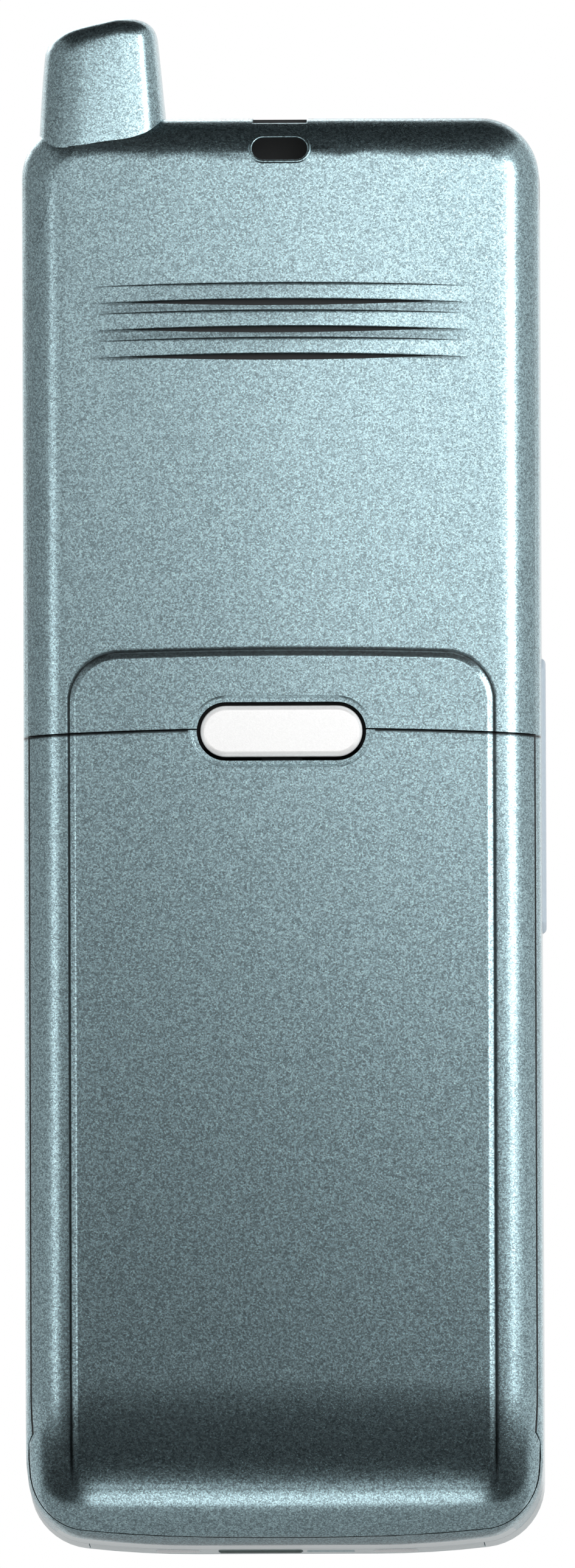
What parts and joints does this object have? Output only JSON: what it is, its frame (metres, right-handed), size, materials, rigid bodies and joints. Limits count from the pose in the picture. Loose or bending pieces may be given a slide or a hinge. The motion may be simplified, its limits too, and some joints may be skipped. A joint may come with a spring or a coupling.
{
  "type": "cordless handset",
  "caption": "Slim network handset with a stub antenna, a hinged battery cover with a push latch, three grip ribs, a strap eyelet, a display and a keypad.",
  "frame": {"origin": "on the flat of the foot, midway across the width, 11 mm behind the front face", "axes": "+Z towards the antenna's end, -Y towards the display and keys, +Y towards the battery cover, +X towards the antenna's side"},
  "size_m": [0.0464, 0.0231, 0.1364],
  "materials": {
    "silver_paint": "metallic flake paint on plastic, satin",
    "silver_housing": "metallic paint on plastic, glossy",
    "latch_silver": "bright silver, satin",
    "battery_wrap": "dark film",
    "gold_contact": "gold plated",
    "steel": "bright",
    "dark_plastic": "moulded",
    "end_plastic": "silver paint, satin",
    "soft_rubber": "green-grey, matt",
    "black_rubber": "matt",
    "key_plastic": "pale blue-grey, satin",
    "clear_window": "clear, printed border",
    "display_face": "switched-off display",
    "white_plastic": "diffusing",
    "board_green": "solder mask",
    "mat_silicone": "translucent silicone",
    "dome_foil": "film over metal domes",
    "shield_tin": "tinned sheet",
    "chip_black": "moulded"
  },
  "bodies": {
    "casing": {"rear_case": "silver_paint", "front_housing": "silver_housing", "battery_pack": "battery_wrap", "battery_terminals": "gold_contact", "battery_connector": "dark_plastic", "battery_contacts": "gold_contact", "case_screws": "steel", "latch_spring": "steel", "bottom_end_piece": "end_plastic", "charge_pads": "steel", "port_cover": "soft_rubber", "io_connector": "steel", "volume_switch": "dark_plastic", "headset_socket": "dark_plastic", "display_window": "clear_window", "display_gasket": "black_rubber", "lcd_panel": "display_face", "lcd_backlight": "white_plastic", "earpiece_mesh": "dark_plastic", "earpiece_receiver": "steel", "microphone": "steel", "microphone_boot": "black_rubber", "main_board": "board_green", "keypad_mat": "mat_silicone", "dome_sheet": "dome_foil", "radio_shield": "shield_tin", "processor_shield": "shield_tin", "wifi_module": "shield_tin", "ringer": "chip_black", "backup_cell": "steel", "vibration_motor": "steel", "antenna_element": "gold_contact", "antenna_clip": "gold_contact"},
    "cover": {"battery_cover": "silver_paint"},
    "latch": {"latch_button": "latch_silver"},
    "volume_rocker": {"volume_key": "key_plastic"},
    "navigation_ring": {"nav_ring": "key_plastic"},
    "select_button": {"select_key": "latch_silver"},
    "talk_key_body": {"talk_key": "key_plastic"},
    "end_key_body": {"end_key": "key_plastic"},
    "left_soft_key_body": {"left_soft_key": "key_plastic"},
    "right_soft_key_body": {"right_soft_key": "key_plastic"},
    "key_star_body": {"key_star": "key_plastic"},
    "key_0_body": {"key_0": "key_plastic"},
    "key_hash_body": {"key_hash": "key_plastic"},
    "key_7_body": {"key_7": "key_plastic"},
    "key_8_body": {"key_8": "key_plastic"},
    "key_9_body": {"key_9": "key_plastic"},
    "key_4_body": {"key_4": "key_plastic"},
    "key_5_body": {"key_5": "key_plastic"},
    "key_6_body": {"key_6": "key_plastic"},
    "key_1_body": {"key_1": "key_plastic"},
    "key_2_body": {"key_2": "key_plastic"},
    "key_3_body": {"key_3": "key_plastic"}
  },
  "joints": [
    {"name": "cover_hinge", "type": "hinge", "parent": "casing", "child": "cover", "pos_m": [0, 0.0072, 0.00115], "axis": [-1, 0, 0], "range_deg": [0, 35]},
    {"name": "latch_press", "type": "slide", "parent": "casing", "child": "latch", "axis": [0, -1, 0], "range_m": [0, 0.001], "stiffness_N_per_m": 900, "deforming": ["latch_spring"]},
    {"name": "volume_rock", "type": "hinge", "parent": "casing", "child": "volume_rocker", "pos_m": [-0.0215, -0.006, 0.0675], "axis": [0, 1, 0], "range_deg": [-1.2, 1.2], "stiffness_Nm_per_rad": 0.12},
    {"name": "navigation_rock", "type": "hinge", "parent": "casing", "child": "navigation_ring", "pos_m": [0, -0.009, 0.0702], "axis": [1, 0, 0], "range_deg": [-2.5, 2.5], "stiffness_Nm_per_rad": 0.05},
    {"name": "select_press", "type": "slide", "parent": "casing", "child": "select_button", "axis": [0, 1, 0], "range_m": [0, 0.0004], "stiffness_N_per_m": 900},
    {"name": "talk_press", "type": "slide", "parent": "casing", "child": "talk_key_body", "axis": [0, 1, 0], "range_m": [0, 0.0004], "stiffness_N_per_m": 900},
    {"name": "end_press", "type": "slide", "parent": "casing", "child": "end_key_body", "axis": [0, 1, 0], "range_m": [0, 0.0004], "stiffness_N_per_m": 900},
    {"name": "left_soft_press", "type": "slide", "parent": "casing", "child": "left_soft_key_body", "axis": [0, 1, 0], "range_m": [0, 0.0004], "stiffness_N_per_m": 900},
    {"name": "right_soft_press", "type": "slide", "parent": "casing", "child": "right_soft_key_body", "axis": [0, 1, 0], "range_m": [0, 0.0004], "stiffness_N_per_m": 900},
    {"name": "digit_star_press", "type": "slide", "parent": "casing", "child": "key_star_body", "axis": [0, 1, 0], "range_m": [0, 0.0004], "stiffness_N_per_m": 900},
    {"name": "digit_0_press", "type": "slide", "parent": "casing", "child": "key_0_body", "axis": [0, 1, 0], "range_m": [0, 0.0004], "stiffness_N_per_m": 900},
    {"name": "digit_hash_press", "type": "slide", "parent": "casing", "child": "key_hash_body", "axis": [0, 1, 0], "range_m": [0, 0.0004], "stiffness_N_per_m": 900},
    {"name": "digit_7_press", "type": "slide", "parent": "casing", "child": "key_7_body", "axis": [0, 1, 0], "range_m": [0, 0.0004], "stiffness_N_per_m": 900},
    {"name": "digit_8_press", "type": "slide", "parent": "casing", "child": "key_8_body", "axis": [0, 1, 0], "range_m": [0, 0.0004], "stiffness_N_per_m": 900},
    {"name": "digit_9_press", "type": "slide", "parent": "casing", "child": "key_9_body", "axis": [0, 1, 0], "range_m": [0, 0.0004], "stiffness_N_per_m": 900},
    {"name": "digit_4_press", "type": "slide", "parent": "casing", "child": "key_4_body", "axis": [0, 1, 0], "range_m": [0, 0.0004], "stiffness_N_per_m": 900},
    {"name": "digit_5_press", "type": "slide", "parent": "casing", "child": "key_5_body", "axis": [0, 1, 0], "range_m": [0, 0.0004], "stiffness_N_per_m": 900},
    {"name": "digit_6_press", "type": "slide", "parent": "casing", "child": "key_6_body", "axis": [0, 1, 0], "range_m": [0, 0.0004], "stiffness_N_per_m": 900},
    {"name": "digit_1_press", "type": "slide", "parent": "casing", "child": "key_1_body", "axis": [0, 1, 0], "range_m": [0, 0.0004], "stiffness_N_per_m": 900},
    {"name": "digit_2_press", "type": "slide", "parent": "casing", "child": "key_2_body", "axis": [0, 1, 0], "range_m": [0, 0.0004], "stiffness_N_per_m": 900},
    {"name": "digit_3_press", "type": "slide", "parent": "casing", "child": "key_3_body", "axis": [0, 1, 0], "range_m": [0, 0.0004], "stiffness_N_per_m": 900}
  ]
}
